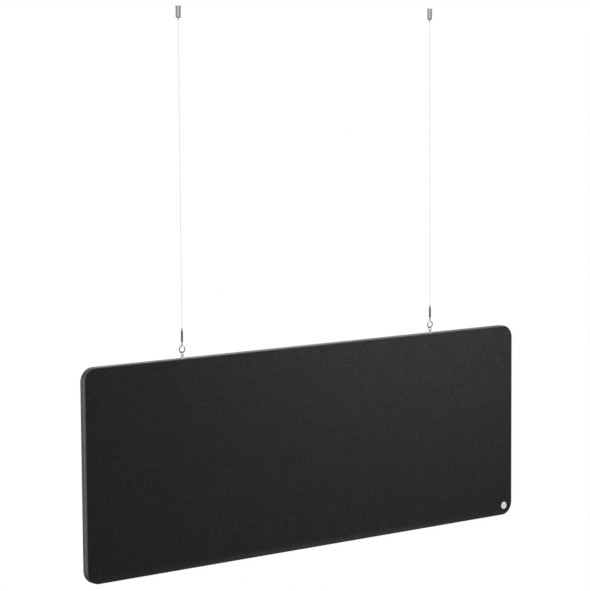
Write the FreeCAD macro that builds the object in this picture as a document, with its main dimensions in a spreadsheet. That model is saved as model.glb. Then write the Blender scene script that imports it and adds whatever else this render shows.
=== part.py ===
import FreeCAD, Part
import Sketcher
import math
import os

from FreeCAD import Placement, Rotation, Vector

# Hanging acoustic panel: a cloth-covered absorber on two taut wires from the ceiling.
# X runs along the panel, -Y is its front, +Z is up. The origin is on the ceiling plane,
# midway between the two ceiling fittings.

# Driving dimensions, in millimetres, with angles in degrees
SIZES = {
    # Panel outline and its layers
    "panel_length": 1600,
    "panel_height": 600,
    "panel_thickness": 22,
    "corner_radius": 40,
    "edge_rounding": 2.5,
    "cover_cloth": 1,
    "wadding_thickness": 2,
    "frame_width": 45,
    "fit_gap": 0.1,
    "core_gap": 0.3,
    "dowel_diameter": 8,
    "dowel_length": 40,
    "dowel_spacing": 22,
    "dowel_gap": 0.05,
    "dowel_end_gap": 0.5,
    # Round badge near the lower right corner
    "badge_diameter": 22,
    "badge_thickness": 1.8,
    "badge_rim_width": 1.6,
    "badge_dish": 0.5,
    "badge_side_inset": 35.2,
    "badge_foot_inset": 30,
    "badge_stud_diameter": 3,
    "badge_stud_length": 6,
    "badge_rounding": 0.4,
    # Where it hangs
    "drop": 981,
    "eye_spacing": 930,
    "wire_diameter": 1.2,
    # Eye bolt, its washer and the insert under it
    "eye_wire": 2.8,
    "eye_ring_radius": 5.75,
    "eye_shoulder_diameter": 7,
    "eye_shoulder_height": 5.75,
    "washer_diameter": 13,
    "washer_thickness": 1.5,
    "washer_rounding": 0.4,
    "shank_diameter": 6,
    "shank_past": 2,
    "shank_relief": 1,
    "thread_gap": 0.1,
    "insert_diameter": 10,
    "insert_length": 20,
    # Snap hook and its wire gate
    "hook_wire": 3,
    "hook_radius": 9.5,
    "hook_bend": 5,
    "hook_tip_angle": 32,
    "stem_length": 10.2,
    "link_gap": 0.3,
    "gate_wire": 0.9,
    "gate_side_gap": 0.1,
    "gate_tip_gap": 0.25,
    "gate_corner": 0.8,
    "gate_pivot_height": 1.2,
    "gate_end_gap": 0.4,
    "gate_past": 0.8,
    "pivot_gap": 0.05,
    # Terminal swaged on the lower end of the wire, with a socket for the hook's ball head
    "terminal_length": 26,
    "terminal_wall": 0.8,
    "taper_length": 12,
    "taper_tip_wall": 0.5,
    "terminal_rounding": 0.4,
    "wire_grip": 30,
    "swage_gap": 0.05,
    "head_lip": 0.7,
    "head_gap": 0.1,
    "head_depth": 2.6,
    "throat_play": 0.35,
    "throat_flare": 12,
    # Ceiling base and barrel
    "flange_diameter": 21,
    "flange_thickness": 1.2,
    "flange_rounding": 0.5,
    "screw_hole_diameter": 4.5,
    "screw_head_diameter": 8.6,
    "boss_length": 7,
    "barrel_wall": 2.4,
    "shoulder_rounding": 4,
    "tail_room": 6,
    "floor_thickness": 2.4,
    "recess_depth": 2.4,
    "recess_gap": 0.15,
    "cone_length": 12,
    "cone_angle": 10,
    # Wire grip inside the barrel
    "plug_ledge": 0.4,
    "plug_thickness": 3,
    "nozzle_wall": 1.05,
    "nozzle_reach": 7,
    "nozzle_tip_wall": 0.45,
    "collar_width": 0.9,
    "collar_sunk": 0.1,
    "collar_show": 0.6,
    "wire_gap": 0.15,
    "slide_gap": 0.08,
    "cage_gap": 0.2,
    "cage_height": 6.5,
    "ball_diameter": 2.4,
    "ball_height": 3.5,
    "ball_gap": 0.1,
    "spring_wire": 0.6,
    "rest_gap": 0.05,
    "tail_past": 2,
    "bend_drop": 0.35,
    "bend_gap": 0.08,
}

# Sizes and levels worked out from the driving dimensions
FITS = {
    # Panel
    "panel_top": "-dims.drop",
    "panel_centre": "-dims.drop - dims.panel_height / 2",
    "half_thickness": "dims.panel_thickness / 2",
    "front_face": "-half_thickness",
    "frame_inset": "dims.cover_cloth + dims.fit_gap",
    "frame_length": "dims.panel_length - 2 * frame_inset",
    "frame_height": "dims.panel_height - 2 * frame_inset",
    "frame_corner": "dims.corner_radius - frame_inset",
    "frame_half": "half_thickness - dims.cover_cloth - dims.wadding_thickness",
    "frame_thickness": "2 * frame_half",
    "frame_top": "panel_top - frame_inset",
    "frame_bottom": "frame_top - frame_height",
    "stile_inner": "frame_length / 2 - dims.frame_width",
    "rail_length": "2 * stile_inner",
    "core_length": "rail_length - 2 * dims.core_gap",
    "core_height": "frame_height - 2 * dims.frame_width - 2 * dims.core_gap",
    "wadding_face": "half_thickness - dims.cover_cloth",
    "wadding_rounding": "min(dims.edge_rounding - dims.cover_cloth; 0.9 * dims.wadding_thickness)",
    "rail_axis_above": "frame_height / 2 - dims.frame_width / 2",
    "dowel_radius": "dims.dowel_diameter / 2",
    "dowel_hole_radius": "dowel_radius + dims.dowel_gap",
    "dowel_hole_length": "dims.dowel_length + 2 * dims.dowel_end_gap",
    # Badge
    "badge_x": "dims.panel_length / 2 - dims.badge_side_inset",
    "badge_z": "panel_top - dims.panel_height + dims.badge_foot_inset",
    "badge_radius": "dims.badge_diameter / 2",
    "badge_face_radius": "badge_radius - dims.badge_rim_width",
    "badge_dish_level": "dims.badge_thickness - dims.badge_dish",
    "badge_stud_radius": "dims.badge_stud_diameter / 2",
    "badge_stud_end": "-dims.badge_stud_length",
    "badge_hole_radius": "badge_stud_radius + dims.fit_gap",
    "badge_hole_depth": "dims.badge_stud_length + dims.fit_gap",
    # Eye bolt and insert
    "hanger_x": "dims.eye_spacing / 2",
    "wire_radius": "dims.wire_diameter / 2",
    "shank_radius": "dims.shank_diameter / 2",
    "washer_top": "panel_top + dims.washer_thickness",
    "washer_radius": "dims.washer_diameter / 2",
    "shank_hole_radius": "shank_radius + dims.fit_gap",
    "shoulder_radius": "dims.eye_shoulder_diameter / 2",
    "shoulder_top": "washer_top + dims.eye_shoulder_height",
    "eye_wire_radius": "dims.eye_wire / 2",
    "eye_centre": "shoulder_top + dims.eye_ring_radius",
    "insert_bottom": "frame_top - dims.insert_length",
    "insert_radius": "dims.insert_diameter / 2",
    "insert_bore_radius": "shank_radius + dims.thread_gap",
    "insert_hole_radius": "insert_radius + dims.fit_gap",
    "shank_bottom": "insert_bottom - dims.shank_past",
    "shank_length": "washer_top - shank_bottom",
    "insert_hole_bottom": "shank_bottom - dims.shank_relief",
    "insert_hole_depth": "frame_top - insert_hole_bottom",
    "cloth_cut_top": "panel_top + dims.cover_cloth",
    "cloth_cut_depth": "3 * dims.cover_cloth",
    # Hook: a stem, a bend to one side and a ring centred under the stem
    "hook_wire_radius": "dims.hook_wire / 2",
    "hook_bottom": "eye_centre + dims.eye_ring_radius - eye_wire_radius - hook_wire_radius - dims.link_gap",
    "hook_centre": "hook_bottom + dims.hook_radius",
    "hook_bend_angle": "acos(dims.hook_bend / (dims.hook_radius + dims.hook_bend)) / 1 deg",
    "stem_bottom": "hook_centre + (dims.hook_radius + dims.hook_bend) * sin(hook_bend_angle)",
    "bend_end_x": "-dims.hook_radius * cos(hook_bend_angle)",
    "tip_x": "dims.hook_radius * cos(dims.hook_tip_angle)",
    "tip_z": "hook_centre + dims.hook_radius * sin(dims.hook_tip_angle)",
    "head_centre": "stem_bottom + dims.stem_length",
    "head_radius": "hook_wire_radius + dims.head_lip",
    # Gate: a loop of thin wire from a cross hole in the stem to the inside of the tip
    "gate_wire_radius": "dims.gate_wire / 2",
    "gate_hole_radius": "gate_wire_radius + dims.pivot_gap",
    "gate_pivot": "stem_bottom + dims.gate_pivot_height",
    "gate_reach": "hypot(tip_x; gate_pivot - tip_z)",
    "gate_offset": "hook_wire_radius + gate_wire_radius + dims.gate_tip_gap",
    "gate_inset_angle": "asin(gate_offset / gate_reach) / 1 deg",
    "gate_angle": "atan2(tip_x; gate_pivot - tip_z) / 1 deg - gate_inset_angle",
    "gate_half_width": "hook_wire_radius + dims.gate_corner + dims.gate_side_gap",
    "gate_run": "gate_reach * cos(gate_inset_angle) + dims.gate_past - gate_half_width",
    "gate_half_end_gap": "dims.gate_end_gap / 2",
    # Terminal
    "socket_radius": "head_radius + dims.head_gap",
    "socket_top": "head_centre + socket_radius",
    "throat_radius": "hook_wire_radius + dims.throat_play",
    "seat_depth": "sqrt(pow(socket_radius; 2) - pow(throat_radius; 2))",
    "seat_level": "head_centre - seat_depth",
    "terminal_bottom": "head_centre - dims.head_depth",
    "mouth_radius": "throat_radius + (dims.head_depth - seat_depth) * tan(dims.throat_flare)",
    "terminal_radius": "socket_radius + dims.terminal_wall",
    "taper_bottom": "terminal_bottom + dims.terminal_length",
    "terminal_top": "taper_bottom + dims.taper_length",
    "swage_radius": "wire_radius + dims.swage_gap",
    "taper_tip_radius": "swage_radius + dims.taper_tip_wall",
    "wire_bottom": "terminal_top - dims.wire_grip",
    "swage_bottom": "wire_bottom - dims.swage_gap",
    # Ceiling fitting, from the ceiling down
    "flange_radius": "dims.flange_diameter / 2",
    "flange_bottom": "-dims.flange_thickness",
    "screw_hole_radius": "dims.screw_hole_diameter / 2",
    "screw_head_radius": "dims.screw_head_diameter / 2",
    "boss_bottom": "flange_bottom - dims.boss_length",
    "sink_top": "boss_bottom + screw_head_radius - screw_hole_radius",
    "plug_top": "boss_bottom - dims.tail_room",
    "plug_bottom": "plug_top - dims.plug_thickness",
    "floor_top": "plug_bottom - dims.cone_length",
    "floor_bottom": "floor_top - dims.floor_thickness",
    "barrel_bottom": "floor_bottom - dims.recess_depth",
    "nozzle_mouth": "barrel_bottom - dims.nozzle_reach",
    "bend_level": "nozzle_mouth - dims.bend_drop",
    "tail_bottom": "bend_level + wire_radius + dims.bend_gap",
    "tail_top": "plug_top + dims.tail_past",
    "tail_length": "tail_top - tail_bottom",
    "wire_top": "bend_level - wire_radius - dims.bend_gap",
    "wire_length": "wire_top - wire_bottom",
    # Grip: balls between the wire and the cone of the barrel
    "ball_radius": "dims.ball_diameter / 2",
    "ball_ring_radius": "wire_radius + dims.ball_gap + ball_radius",
    "ball_level": "floor_top + dims.ball_height",
    "cone_at_balls": "ball_ring_radius + (ball_radius + dims.ball_gap) / cos(dims.cone_angle)",
    "cone_bottom_radius": "cone_at_balls - dims.ball_height * tan(dims.cone_angle)",
    "cone_top_radius": "cone_bottom_radius + dims.cone_length * tan(dims.cone_angle)",
    "chamber_radius": "cone_top_radius + dims.plug_ledge",
    "plug_radius": "chamber_radius - dims.thread_gap",
    "barrel_radius": "chamber_radius + dims.barrel_wall",
    "nozzle_bore": "wire_radius + dims.wire_gap",
    "nozzle_radius": "nozzle_bore + dims.nozzle_wall",
    "nozzle_hole_radius": "nozzle_radius + dims.slide_gap",
    "nozzle_tip_radius": "nozzle_bore + dims.nozzle_tip_wall",
    "collar_radius": "nozzle_radius + dims.collar_width",
    "collar_top": "barrel_bottom + dims.collar_sunk",
    "collar_bottom": "barrel_bottom - dims.collar_show",
    "recess_radius": "collar_radius + dims.recess_gap",
    "shoulder_radius": "min(dims.shoulder_rounding; 0.9 * (barrel_radius - recess_radius))",
    "cage_radius": "cone_bottom_radius - dims.cage_gap",
    "cage_bottom": "floor_top + dims.rest_gap",
    "cage_top": "cage_bottom + dims.cage_height",
    "window_radius": "ball_radius + dims.ball_gap",
    "spring_bottom": "cage_top + dims.rest_gap",
    "spring_top": "plug_bottom - dims.rest_gap",
    "spring_bore": "cage_radius - dims.spring_wire",
}

SIDES = {"left": -1, "right": 1}
BALL_ANGLES = (60, 180, 300)

doc = FreeCAD.newDocument("hanging_acoustic_panel")
nodes = []


def fill_sheet(name, cells):
    """Put each named value in a cell of its own, with its name beside it and as its alias."""
    sheet = doc.addObject("Spreadsheet::Sheet", name)
    for row, (alias, content) in enumerate(cells.items(), start=1):
        sheet.set(f"A{row}", alias)
        sheet.set(f"B{row}", str(content))
        sheet.setAlias(f"B{row}", alias)
    doc.recompute()
    return sheet


dims = fill_sheet("dims", SIZES)
fits = fill_sheet("fits", {alias: f"={formula}" for alias, formula in FITS.items()})


def value(alias):
    """The number in a cell of either sheet."""
    sheet = dims if alias in SIZES else fits
    return float(sheet.get(alias))


def rule(alias):
    """The expression that reads a cell of either sheet; a leading minus is kept."""
    sign = "-" if alias.startswith("-") else ""
    alias = alias.lstrip("-")
    return f"{sign}dims.{alias}" if alias in SIZES else f"{sign}fits.{alias}"


def bind(item, **rules):
    """Tie properties of an object to expressions."""
    for prop, expression in rules.items():
        item.setExpression(prop, expression)


def place(item, x=None, y=None, z=None):
    """Tie an object's position to expressions, axis by axis."""
    for axis, expression in (("x", x), ("y", y), ("z", z)):
        if expression:
            item.setExpression(f"Placement.Base.{axis}", expression)


def node(item, label):
    """Name a finished sub-part and keep it for writing."""
    item.Label = label
    nodes.append(item)
    return item


def part_object(kind, name, **rules):
    """A Part primitive whose sizes are tied to expressions."""
    item = doc.addObject(f"Part::{kind}", name)
    bind(item, **rules)
    return item


def cylinder(name, radius, height, rotation=None, **position):
    """A Part cylinder, its lower end at the position, turned first if a rotation is given."""
    item = part_object("Cylinder", name, Radius=radius, Height=height)
    if rotation:
        item.Placement = Placement(Vector(), rotation)
    place(item, **position)
    return item


def box(name, length, width, height, **position):
    """A Part box with its low corner at the position."""
    item = part_object("Box", name, Length=length, Width=width, Height=height)
    place(item, **position)
    return item


def cut(name, base, tool):
    """One Part object less another."""
    item = doc.addObject("Part::Cut", name)
    item.Base = base
    item.Tool = tool
    return item


def group(kind, name, items):
    """A Part compound or a fusion of several objects."""
    item = doc.addObject(f"Part::{kind}", name)
    if kind == "Compound":
        item.Links = items
    else:
        item.Shapes = items
    return item


def new_body(name):
    return doc.addObject("PartDesign::Body", name)


def origin_plane(body, role):
    return next(item for item in body.Origin.OriginFeatures if item.Role == role)


def new_sketch(body, name, role, x=None, y=None, z=None):
    """A sketch on one of the body's own planes, moved in that plane's axes by expressions."""
    sketch = body.newObject("Sketcher::SketchObject", name)
    sketch.AttachmentSupport = [(origin_plane(body, role), "")]
    sketch.MapMode = "FlatFace"
    for axis, expression in (("x", x), ("y", y), ("z", z)):
        if expression:
            sketch.setExpression(f"AttachmentOffset.Base.{axis}", expression)
    return sketch


def fix_point(sketch, geometry, end, x, y):
    """Hold a point of a sketch at two named coordinates; 0 means on the axis."""
    for kind, axis, coordinate in (("DistanceX", -2, x), ("DistanceY", -1, y)):
        if coordinate == 0:
            sketch.addConstraint(Sketcher.Constraint("PointOnObject", geometry, end, axis))
            continue
        sign = -1 if coordinate.startswith("-") else 1
        number = sign * value(coordinate.lstrip("-"))
        index = sketch.addConstraint(Sketcher.Constraint(kind, -1, 1, geometry, end, number))
        sketch.setExpression(f"Constraints[{index}]", rule(coordinate))


def number_of(coordinate):
    """The number of a named coordinate, which may be 0 or start with a minus."""
    if coordinate == 0:
        return 0.0
    sign = -1 if coordinate.startswith("-") else 1
    return sign * value(coordinate.lstrip("-"))


def outline_sketch(body, name, role, points):
    """A closed sketch of straight lines through points given by named coordinates."""
    sketch = new_sketch(body, name, role)
    corners = [Vector(number_of(x), number_of(y), 0) for x, y in points]
    count = len(corners)
    for index, corner in enumerate(corners):
        sketch.addGeometry(Part.LineSegment(corner, corners[(index + 1) % count]))
    for index, (x, y) in enumerate(points):
        following = (index + 1) % count
        sketch.addConstraint(Sketcher.Constraint("Coincident", index, 2, following, 1))
        fix_point(sketch, index, 1, x, y)
    return sketch


def circle_sketch(body, name, role, centres, radius, **offset):
    """A sketch of equal circles at named places."""
    sketch = new_sketch(body, name, role, **offset)
    for index, (x, y) in enumerate(centres):
        middle = Vector(number_of(x), number_of(y), 0)
        sketch.addGeometry(Part.Circle(middle, Vector(0, 0, 1), value(radius)))
        fix_point(sketch, index, 3, x, y)
        size = sketch.addConstraint(Sketcher.Constraint("Radius", index, value(radius)))
        sketch.setExpression(f"Constraints[{size}]", rule(radius))
    return sketch


def turned(name, points):
    """A body turned about Z from an outline of (radius, level) points."""
    body = new_body(name)
    sketch = outline_sketch(body, name + "_profile", "XZ_Plane", points)
    turn = body.newObject("PartDesign::Revolution", name + "_turn")
    turn.Profile = sketch
    turn.ReferenceAxis = (sketch, ["V_Axis"])
    turn.Angle = 360
    doc.recompute()
    return body


def on_hanger(body, side, turned_round=False):
    """Put a piece that is built about Z on the left or right hanger, half turned if asked."""
    if turned_round:
        body.Placement = Placement(Vector(), Rotation(Vector(0, 0, 1), 180))
    place(body, x=f"{SIDES[side]} * fits.hanger_x")
    return body


def edges_where(shape, wanted):
    """Names of the edges that pass a test."""
    return [f"Edge{index}" for index, edge in enumerate(shape.Edges, start=1) if wanted(edge)]


def rounded(body, name, radius, wanted):
    """Round the chosen edges of a body's last feature."""
    base = body.Tip
    fillet = body.newObject("PartDesign::Fillet", name)
    fillet.Base = (base, edges_where(base.Shape, wanted))
    bind(fillet, Radius=rule(radius))
    doc.recompute()
    return fillet


def ring_edge(radius, level):
    """A test for the circular edge of a turned body at a named radius and level."""
    def wanted(edge):
        points = [edge.valueAt(edge.FirstParameter), edge.valueAt(edge.LastParameter)]
        return all(abs(point.z - value(level)) < 1e-6
                   and abs(math.hypot(point.x, point.y) - value(radius)) < 1e-6 for point in points)
    return wanted


def along_y(edge):
    """True for a straight edge that runs along Y."""
    first, last = edge.firstVertex().Point, edge.lastVertex().Point
    return math.hypot(last.x - first.x, last.z - first.z) < 1e-6


def pocket(body, name, sketch, depth):
    """Cut a sketch straight back from its plane, and check that it cut something."""
    before = body.Shape.Volume
    feature = body.newObject("PartDesign::Pocket", name)
    feature.Profile = sketch
    bind(feature, Length=depth)
    doc.recompute()
    if body.Shape.Volume >= before:
        raise RuntimeError(f"{name} cuts nothing")
    return feature


def plate(name, length, height, corner, back, thickness):
    """A round-cornered plate in the panel's plane, from its back level towards the front."""
    body = new_body(name)
    sketch = new_sketch(body, name + "_outline", "XZ_Plane", y="fits.panel_centre", z=f"-({back})")
    half_length, half_height = value(length) / 2, value(height) / 2
    signs = ((-1, -1), (1, -1), (1, 1), (-1, 1))
    corners = [Vector(across * half_length, up * half_height, 0) for across, up in signs]
    for index in range(4):
        sketch.addGeometry(Part.LineSegment(corners[index], corners[(index + 1) % 4]))
    for index in range(4):
        sketch.addConstraint(Sketcher.Constraint("Coincident", index, 2, (index + 1) % 4, 1))
        sketch.addConstraint(Sketcher.Constraint("Vertical" if index % 2 else "Horizontal", index))
    sketch.addConstraint(Sketcher.Constraint("Symmetric", 0, 1, 2, 1, -1, 1))
    wide = sketch.addConstraint(Sketcher.Constraint("DistanceX", 0, 1, 0, 2, 2 * half_length))
    tall = sketch.addConstraint(Sketcher.Constraint("DistanceY", 1, 1, 1, 2, 2 * half_height))
    sketch.setExpression(f"Constraints[{wide}]", rule(length))
    sketch.setExpression(f"Constraints[{tall}]", rule(height))
    pad = body.newObject("PartDesign::Pad", name + "_pad")
    pad.Profile = sketch
    bind(pad, Length=thickness)
    doc.recompute()
    rounded(body, name + "_corners", corner, along_y)
    return body


def at_level(level):
    """A test for edges that lie wholly at one Y."""
    def wanted(edge):
        middle = edge.valueAt((edge.FirstParameter + edge.LastParameter) / 2)
        points = [middle] + [vertex.Point for vertex in edge.Vertexes]
        return all(abs(point.y - level) < 1e-6 for point in points)
    return wanted


def make_cover(name, back, face_level):
    """A cloth tray over one face and half of the edge, notched for the eye bolts."""
    body = plate(name, "panel_length", "panel_height", "corner_radius", back, "fits.half_thickness")
    rounded(body, name + "_rim", "edge_rounding", at_level(face_level))
    base = body.Tip
    faces = enumerate(base.Shape.Faces, start=1)
    open_face = next(f"Face{index}" for index, face in faces if abs(face.BoundBox.YLength) < 1e-6
                     and abs(face.CenterOfMass.y) < 1e-6)
    shell = body.newObject("PartDesign::Thickness", name + "_shell")
    shell.Base = (base, [open_face])
    shell.Reversed = True
    bind(shell, Value="dims.cover_cloth")
    doc.recompute()
    if shell.Shape.Volume >= base.Shape.Volume:
        raise RuntimeError(f"{name} isn't hollow")
    eyes = circle_sketch(body, name + "_eyes", "XY_Plane", [("-hanger_x", 0), ("hanger_x", 0)],
                         "shank_hole_radius", z="fits.cloth_cut_top")
    pocket(body, name + "_eye_notches", eyes, "fits.cloth_cut_depth")
    return body


def badge_hole(body, name, level, depth):
    """A hole for the badge's stud, cut from a level of the front inwards."""
    centres = [("badge_x", "badge_z")]
    hole = circle_sketch(body, name, "XZ_Plane", centres, "badge_hole_radius", z=f"-({level})")
    return pocket(body, name + "_cut", hole, depth)


def make_covers():
    front = make_cover("front_cover", "0", value("front_face"))
    badge_hole(front, "front_cover_stud_hole", "fits.front_face", "2 * dims.cover_cloth")
    node(front, "front_cover")
    node(make_cover("back_cover", "fits.half_thickness", value("half_thickness")), "back_cover")


def make_wadding():
    """A soft sheet between the cover and the frame, on each face."""
    front = plate("front_wadding", "frame_length", "frame_height", "frame_corner", "-fits.frame_half",
                  "dims.wadding_thickness")
    rounded(front, "front_wadding_rim", "wadding_rounding", at_level(-value("wadding_face")))
    badge_hole(front, "front_wadding_stud_hole", "-fits.wadding_face", "2 * dims.wadding_thickness")
    node(front, "front_wadding")
    back = plate("back_wadding", "frame_length", "frame_height", "frame_corner", "fits.wadding_face",
                 "dims.wadding_thickness")
    rounded(back, "back_wadding_rim", "wadding_rounding", at_level(value("wadding_face")))
    node(back, "back_wadding")


def dowel_set(name, radius, length):
    """Two cylinders along X across each of the four joints between rails and stiles."""
    pegs = []
    lengthways = Rotation(Vector(0, 1, 0), 90)
    for across in SIDES.values():
        for rail in (-1, 1):
            for row in (-0.5, 0.5):
                peg = cylinder(
                    f"{name}_{len(pegs)}", radius, length, lengthways,
                    x=f"{across} * fits.stile_inner - ({length}) / 2",
                    z=f"fits.panel_centre + {rail} * fits.rail_axis_above + {row} * dims.dowel_spacing")
                pegs.append(peg)
    return group("Compound", name, pegs)


def make_frame():
    """Timber rails and stiles cut from one round-cornered outline, dowelled at the corners."""
    blank = plate("frame_blank", "frame_length", "frame_height", "frame_corner", "fits.frame_half",
                  "fits.frame_thickness")
    holes = dowel_set("dowel_holes", "fits.dowel_hole_radius", "fits.dowel_hole_length")
    inwards = Rotation(Vector(1, 0, 0), -90)
    stud = cylinder("badge_stud_bore", "fits.badge_hole_radius", "fits.badge_hole_depth", inwards,
                    x="fits.badge_x", y="fits.front_face", z="fits.badge_z")
    bores = []
    for side, sign in SIDES.items():
        depth = "fits.insert_hole_depth + dims.fit_gap"
        bores.append(cylinder(f"insert_hole_{side}", "fits.insert_hole_radius", depth,
                              x=f"{sign} * fits.hanger_x", z="fits.insert_hole_bottom"))
    width = "dims.frame_width"
    stile, rail = (width, "fits.frame_height"), ("fits.rail_length", width)
    strips = {
        "left_stile": (stile, "-fits.frame_length / 2", "fits.frame_bottom"),
        "right_stile": (stile, "fits.stile_inner", "fits.frame_bottom"),
        "top_rail": (rail, "-fits.stile_inner", "fits.frame_top - dims.frame_width"),
        "bottom_rail": (rail, "-fits.stile_inner", "fits.frame_bottom"),
    }
    cuts = {"right_stile": [stud], "top_rail": bores}
    for label, ((long, tall), x, z) in strips.items():
        strip = box(label + "_strip", long, "2 * dims.panel_thickness", tall,
                    x=x, y="-dims.panel_thickness", z=z)
        member = doc.addObject("Part::Common", label + "_blank")
        member.Base = blank
        member.Tool = strip
        tools = group("Compound", label + "_holes", [holes] + cuts.get(label, []))
        node(cut(label, member, tools), label)
    node(dowel_set("frame_dowels", "fits.dowel_radius", "dims.dowel_length"), "frame_dowels")


def make_core():
    core = box("acoustic_core", "fits.core_length", "fits.frame_thickness", "fits.core_height",
               x="-fits.core_length / 2", y="-fits.frame_half", z="fits.panel_centre - fits.core_height / 2")
    node(core, "acoustic_core")


def make_badge():
    """A dished disc with a stud, turned about Z and then laid against the front face."""
    badge = turned("badge", [
        (0, "badge_dish_level"), ("badge_face_radius", "badge_dish_level"),
        ("badge_face_radius", "badge_thickness"), ("badge_radius", "badge_thickness"), ("badge_radius", 0),
        ("badge_stud_radius", 0), ("badge_stud_radius", "badge_stud_end"), (0, "badge_stud_end")])
    rounded(badge, "badge_rim", "badge_rounding", ring_edge("badge_radius", "badge_thickness"))
    badge.Placement = Placement(Vector(), Rotation(Vector(1, 0, 0), 90))
    place(badge, x="fits.badge_x", y="fits.front_face", z="fits.badge_z")
    node(badge, "badge")


def make_eye(side):
    """Eye bolt through a washer on the top edge, in a threaded insert in the top rail."""
    x = f"{SIDES[side]} * fits.hanger_x"
    shank = cylinder(f"shank_{side}", "fits.shank_radius", "fits.shank_length", x=x, z="fits.shank_bottom")
    shoulder = cylinder(f"shoulder_{side}", "fits.shoulder_radius", "dims.eye_shoulder_height", x=x,
                        z="fits.washer_top")
    ring = part_object("Torus", f"ring_{side}", Radius1="dims.eye_ring_radius",
                       Radius2="fits.eye_wire_radius")
    ring.Placement = Placement(Vector(), Rotation(Vector(0, 1, 0), 90))
    place(ring, x=x, z="fits.eye_centre")
    node(group("MultiFuse", f"eye_bolt_{side}", [shank, shoulder, ring]), f"eye_bolt_{side}")
    washer = turned(f"eye_washer_{side}", [
        ("shank_hole_radius", "panel_top"), ("washer_radius", "panel_top"),
        ("washer_radius", "washer_top"), ("shank_hole_radius", "washer_top")])
    rounded(washer, f"eye_washer_{side}_rim", "washer_rounding", ring_edge("washer_radius", "washer_top"))
    node(on_hanger(washer, side), f"eye_washer_{side}")
    insert = turned(f"eye_insert_{side}", [
        ("insert_bore_radius", "insert_bottom"), ("insert_radius", "insert_bottom"),
        ("insert_radius", "frame_top"), ("insert_bore_radius", "frame_top")])
    node(on_hanger(insert, side), f"eye_insert_{side}")


def hook_path(body, name):
    """Stem, side bend and ring of the hook's centre line, in the panel's plane."""
    sketch = new_sketch(body, name, "XZ_Plane")
    bend, radius = value("hook_bend"), value("hook_radius")
    turn, tip = math.radians(value("hook_bend_angle")), math.radians(value("hook_tip_angle"))
    top, corner, centre = value("head_centre"), value("stem_bottom"), value("hook_centre")
    up = Vector(0, 0, 1)
    sketch.addGeometry(Part.LineSegment(Vector(0, top, 0), Vector(0, corner, 0)))
    sketch.addGeometry(Part.ArcOfCircle(Part.Circle(Vector(-bend, corner, 0), up, bend), -turn, 0))
    ring = Part.Circle(Vector(0, centre, 0), up, radius)
    sketch.addGeometry(Part.ArcOfCircle(ring, math.pi - turn, 2 * math.pi + tip))
    fix_point(sketch, 0, 1, 0, "head_centre")
    fix_point(sketch, 0, 2, 0, "stem_bottom")
    sketch.addConstraint(Sketcher.Constraint("Coincident", 0, 2, 1, 2))
    fix_point(sketch, 1, 3, "-hook_bend", "stem_bottom")
    sketch.addConstraint(Sketcher.Constraint("Coincident", 1, 1, 2, 1))
    across = sketch.addConstraint(Sketcher.Constraint("DistanceX", -1, 1, 1, 1, value("bend_end_x")))
    sketch.setExpression(f"Constraints[{across}]", "fits.bend_end_x")
    fix_point(sketch, 2, 3, 0, "hook_centre")
    upright = sketch.addConstraint(Sketcher.Constraint("DistanceY", -1, 1, 2, 2, value("tip_z")))
    sketch.setExpression(f"Constraints[{upright}]", "fits.tip_z")
    return sketch


def swept(body, name, profile, path):
    """Sweep a profile along every edge of a path sketch."""
    doc.recompute()
    pipe = body.newObject("PartDesign::AdditivePipe", name)
    pipe.Profile = profile
    pipe.Spine = (path, [f"Edge{index + 1}" for index in range(len(path.Shape.Edges))])
    doc.recompute()
    return pipe


def ball_on(body, name, radius, x=None, z=None):
    """Add a ball to a body."""
    ball = body.newObject("PartDesign::AdditiveSphere", name)
    bind(ball, Radius=radius)
    place(ball, x=x, z=z)
    doc.recompute()
    return ball


def make_hook(side):
    """Snap hook: ball head, stem and ring of one round wire, with a cross hole for the gate."""
    name = f"hook_{side}"
    body = new_body(name)
    path = hook_path(body, name + "_path")
    section = circle_sketch(body, name + "_section", "XY_Plane", [(0, 0)], "hook_wire_radius",
                            z="fits.head_centre")
    swept(body, name + "_wire", section, path)
    ball_on(body, name + "_head", "fits.head_radius", z="fits.head_centre")
    ball_on(body, name + "_tip", "fits.hook_wire_radius", x="fits.tip_x", z="fits.tip_z")
    hole = circle_sketch(body, name + "_hole", "XZ_Plane", [(0, "gate_pivot")], "gate_hole_radius",
                         z="dims.hook_wire")
    pocket(body, name + "_gate_hole", hole, "2 * dims.hook_wire")
    node(on_hanger(body, side, turned_round=side == "right"), name)


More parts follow.
